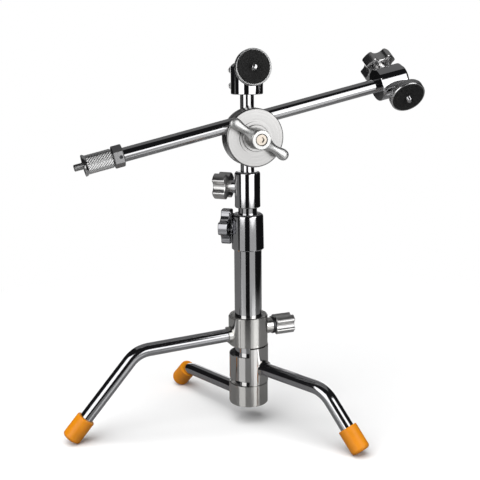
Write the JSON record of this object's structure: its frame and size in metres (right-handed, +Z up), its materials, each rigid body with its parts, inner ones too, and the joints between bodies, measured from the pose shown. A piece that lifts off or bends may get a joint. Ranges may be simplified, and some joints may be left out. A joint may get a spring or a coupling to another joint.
{
  "type": "c stand",
  "caption": "Small turtle-base C-stand: telescoping mast, disc grip head with a boom, and ball-head camera mounts on the mast and the boom.",
  "frame": {"origin": "on the mast axis, in the plane of the floor", "axes": "+Z up along the mast; -Y towards the viewer of the front side, which the grip head's handle faces; +X to the viewer's right, where the boom rises"},
  "size_m": [0.4185, 0.2396, 0.4462],
  "materials": {
    "chrome_tube": "mirror-polished chrome plate",
    "chrome_leg": "mirror-polished chrome plate",
    "chrome_mount": "mirror-polished chrome plate",
    "satin_collar": "satin nickel plate",
    "satin_metal": "satin",
    "turned_metal": "fine turned",
    "plate_metal": "turned and knurled",
    "dark_knob": "dark satin chrome",
    "steel": "plain machined steel",
    "dark_metal": "blackened steel",
    "brass_screw": "warm plated",
    "amber_rubber": "glossy amber rubber",
    "black_rubber": "fine diamond pattern",
    "grey_plastic": "acetal guide"
  },
  "bodies": {
    "base": {"base_tube": "chrome_tube", "base_plug": "grey_plastic", "leg_collar_c": "satin_collar", "leg_tube_c": "chrome_leg", "foot_cap_c": "amber_rubber", "lower_mast_collar": "chrome_tube", "lower_brake_shoe": "brass_screw"},
    "leg_a": {"leg_collar_a": "satin_collar", "leg_tube_a": "chrome_leg", "foot_cap_a": "amber_rubber", "leg_lock_washer": "dark_metal"},
    "leg_lock": {"leg_lock_knob": "satin_metal", "leg_lock_screw": "steel"},
    "leg_b": {"leg_collar_b": "satin_collar", "leg_tube_b": "chrome_leg", "foot_cap_b": "amber_rubber"},
    "lower_lock": {"lower_lock_knob": "dark_knob", "lower_lock_screw": "steel"},
    "riser": {"riser_tube": "chrome_tube", "riser_guide": "grey_plastic", "upper_mast_collar": "chrome_tube", "upper_brake_shoe": "brass_screw"},
    "upper_lock": {"upper_lock_knob": "satin_metal", "upper_lock_screw": "steel"},
    "rod": {"mast_rod": "chrome_tube", "rod_guide": "grey_plastic", "top_mount_housing": "chrome_mount", "top_mount_retaining_ring": "satin_metal", "top_mount_ball_cup": "grey_plastic"},
    "top_mount_lock": {"top_mount_lock_knob": "chrome_mount", "top_mount_lock_screw": "steel"},
    "top_mount_ball": {"top_mount_ball_stud": "steel"},
    "top_mount_plate": {"top_mount_plate": "plate_metal", "top_mount_pad": "black_rubber"},
    "head": {"head_body": "chrome_mount", "draw_bolt": "steel", "friction_washer": "grey_plastic", "handle_end_screw": "brass_screw"},
    "grip": {"back_disc": "turned_metal", "front_disc": "turned_metal", "disc_spring": "steel", "thrust_washer": "turned_metal"},
    "tee_handle": {"tee_handle": "chrome_mount"},
    "boom": {"boom_rod": "chrome_tube", "hex_collar": "chrome_mount", "collar_set_screw": "dark_metal", "end_stud": "steel", "boom_mount_housing": "chrome_mount", "boom_mount_retaining_ring": "satin_metal", "boom_mount_ball_cup": "grey_plastic"},
    "thumb_sleeve": {"thumb_sleeve": "plate_metal"},
    "boom_mount_lock": {"boom_mount_lock_knob": "dark_knob", "boom_mount_lock_screw": "steel"},
    "boom_mount_ball": {"boom_mount_ball_stud": "steel"},
    "boom_mount_plate": {"boom_mount_plate": "plate_metal", "boom_mount_pad": "black_rubber"}
  },
  "joints": [
    {"name": "leg_a_swing", "type": "hinge", "parent": "base", "child": "leg_a", "pos_m": [0, 0, 0.116], "axis": [0, 0, 1], "range_deg": [-66, 120]},
    {"name": "leg_lock_turn", "type": "hinge", "parent": "leg_a", "child": "leg_lock", "pos_m": [0.02782, 0.01124, 0.117], "axis": [0.9272, 0.3746, 0], "continuous": true},
    {"name": "leg_b_swing", "type": "hinge", "parent": "base", "child": "leg_b", "pos_m": [0, 0, 0.071], "axis": [0, 0, 1], "range_deg": [-100, 148]},
    {"name": "lower_lock_turn", "type": "hinge", "parent": "base", "child": "lower_lock", "pos_m": [-0.02307, 0.00662, 0.241], "axis": [-0.9613, 0.2756, 0], "continuous": true},
    {"name": "riser_slide", "type": "slide", "parent": "base", "child": "riser", "axis": [0, 0, 1], "range_m": [-0.006, 0.14]},
    {"name": "upper_lock_turn", "type": "hinge", "parent": "riser", "child": "upper_lock", "pos_m": [-0.01827, 0.00813, 0.2883], "axis": [-0.9135, 0.4067, 0], "continuous": true},
    {"name": "rod_slide", "type": "slide", "parent": "riser", "child": "rod", "axis": [0, 0, 1], "range_m": [-0.004, 0.14]},
    {"name": "top_mount_lock_turn", "type": "hinge", "parent": "rod", "child": "top_mount_lock", "pos_m": [0, 0, 0.4115], "axis": [-0.1045, 0.9945, 0], "continuous": true},
    {"name": "top_mount_tilt", "type": "hinge", "parent": "rod", "child": "top_mount_ball", "pos_m": [0, 0, 0.4225], "axis": [-0.9744, -0.225, 0], "range_deg": [-12, 108]},
    {"name": "top_mount_plate_turn", "type": "hinge", "parent": "top_mount_ball", "child": "top_mount_plate", "pos_m": [0, 0, 0.4225], "axis": [0.2237, -0.969, 0.1045], "continuous": true},
    {"name": "head_swivel", "type": "hinge", "parent": "rod", "child": "head", "pos_m": [0, 0, 0.3482], "axis": [0, 0, 1], "continuous": true},
    {"name": "grip_tilt", "type": "hinge", "parent": "head", "child": "grip", "pos_m": [0, 0, 0.3482], "axis": [0.2756, -0.9613, 0], "range_deg": [-38, 12]},
    {"name": "tee_handle_turn", "type": "hinge", "parent": "head", "child": "tee_handle", "pos_m": [0, 0, 0.3482], "axis": [0.2756, -0.9613, 0], "continuous": true},
    {"name": "boom_slide", "type": "slide", "parent": "grip", "child": "boom", "axis": [0.9366, 0.2686, 0.225], "range_m": [-0.085, 0.105]},
    {"name": "thumb_sleeve_turn", "type": "hinge", "parent": "boom", "child": "thumb_sleeve", "pos_m": [0.00166, -0.02137, 0.36681], "axis": [0.9366, 0.2686, 0.225], "continuous": true},
    {"name": "boom_mount_lock_turn", "type": "hinge", "parent": "boom", "child": "boom_mount_lock", "pos_m": [0.16557, 0.02563, 0.40618], "axis": [-0.3503, 0.7193, 0.5999], "continuous": true},
    {"name": "boom_mount_tilt", "type": "hinge", "parent": "boom", "child": "boom_mount_ball", "pos_m": [0.17587, 0.02858, 0.40865], "axis": [-0.0166, -0.6074, 0.7942], "range_deg": [-2, 120]},
    {"name": "boom_mount_plate_turn", "type": "hinge", "parent": "boom_mount_ball", "child": "boom_mount_plate", "pos_m": [0.17587, 0.02858, 0.40865], "axis": [0.2484, -0.7719, -0.5851], "continuous": true}
  ]
}
